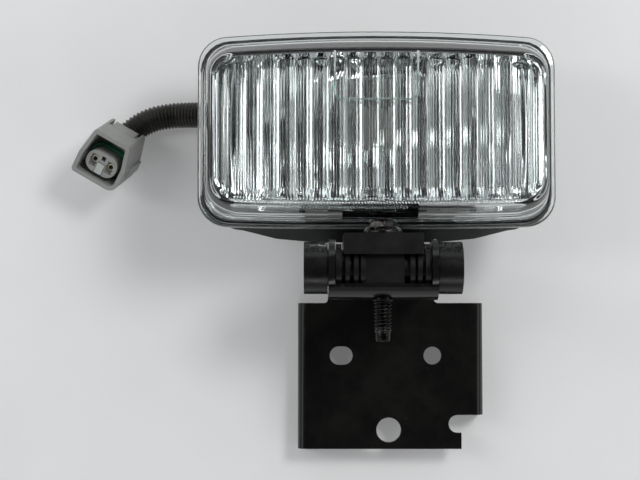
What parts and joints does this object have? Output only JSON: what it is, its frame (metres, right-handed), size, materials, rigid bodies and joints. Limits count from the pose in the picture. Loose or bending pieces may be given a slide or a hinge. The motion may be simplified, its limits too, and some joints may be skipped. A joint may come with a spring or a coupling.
{
  "type": "fog light",
  "caption": "Rectangular fog light with a fluted glass lens, a pressed steel bracket on a lockable aiming pivot, and a short conduit lead with a two-way connector.",
  "frame": {"origin": "on the surface that the lamp lies on, under the middle of the lamp and its bracket, without the lead", "axes": "+Z along the optical axis, out of the lens; +Y towards the lamp's top edge, away from the bracket; +X completes a right-handed frame"},
  "size_m": [0.1795, 0.1544, 0.064],
  "materials": {
    "lens_glass": "clear pressed glass with upright flutes",
    "sealant": "pale grey sealing bead",
    "housing_plastic": "moulded black-green plastic, fine grain",
    "reflector_mirror": "vacuum-metallised bowl",
    "shield_steel": "darkened pressed strip",
    "bulb_glass": "clear quartz",
    "filament": "tungsten",
    "bulb_metal": "stamped base",
    "spring_wire": "drawn wire",
    "plated_screw": "zinc plated",
    "cap_plastic": "moulded black plastic",
    "gasket_rubber": "moulded rubber",
    "black_rubber": "moulded rubber",
    "green_wire": "insulated wire",
    "black_wire": "insulated wire",
    "conduit_plastic": "corrugated conduit",
    "grey_plastic": "moulded grey nylon",
    "green_rubber": "green silicone seal",
    "light_grey_plastic": "moulded light grey nylon",
    "brass_terminal": "tinned brass",
    "knuckle_plastic": "glass-filled black nylon",
    "black_plastic": "smooth black plastic",
    "black_bolt": "black phosphated steel",
    "black_paint": "gloss black paint over pressed steel"
  },
  "bodies": {
    "lamp": {"lens": "lens_glass", "lens_seal": "sealant", "housing": "housing_plastic", "reflector": "reflector_mirror", "bulb_shield": "shield_steel", "bulb_glass": "bulb_glass", "filament": "filament", "bulb_base": "bulb_metal", "clip_screws": "plated_screw", "breather": "black_rubber", "cable_grommet": "black_rubber", "feed_wire": "green_wire", "ground_wire": "black_wire", "conduit": "conduit_plastic", "connector_shell": "grey_plastic", "connector_core": "grey_plastic", "connector_seal": "green_rubber", "connector_terminals": "brass_terminal", "wire_seals": "green_rubber", "pivot_knuckle": "knuckle_plastic", "foot_screws": "plated_screw", "pivot_cap_left": "black_plastic", "pivot_cap_right": "black_plastic", "aim_nut": "black_bolt"},
    "bracket": {"bracket": "black_paint"},
    "bolt": {"aim_bolt": "black_bolt"},
    "cap": {"rear_cap": "cap_plastic", "cap_gasket": "gasket_rubber"},
    "clip": {"bulb_clip": "spring_wire"},
    "latch": {"connector_latch": "grey_plastic"},
    "lock": {"connector_lock": "light_grey_plastic"}
  },
  "joints": [
    {"name": "aim_pivot", "type": "hinge", "parent": "lamp", "child": "bracket", "pos_m": [0.0018, -0.00948, 0.052], "axis": [1, 0, 0], "range_deg": [-8, 8]},
    {"name": "bolt_turn", "type": "hinge", "parent": "lamp", "child": "bolt", "pos_m": [0.0018, 0.00252, 0.052], "axis": [0, 1, 0], "continuous": true},
    {"name": "cap_turn", "type": "hinge", "parent": "lamp", "child": "cap", "pos_m": [0, 0.03963, 0.002], "axis": [0, 0, 1], "range_deg": [0, 35]},
    {"name": "clip_swing", "type": "hinge", "parent": "lamp", "child": "clip", "pos_m": [-0.0135, 0.04113, 0.0104], "axis": [0, 1, 0], "range_deg": [0, 8]},
    {"name": "latch_lift", "type": "hinge", "parent": "lamp", "child": "latch", "pos_m": [-0.09575, 0.04328, 0.01741], "axis": [0.866, -0.5, 0], "range_deg": [-5, 0], "stiffness_Nm_per_rad": 0.05},
    {"name": "lock_slide", "type": "slide", "parent": "lamp", "child": "lock", "axis": [-0.2034, -0.3522, 0.9135], "range_m": [0, 0.002]}
  ]
}
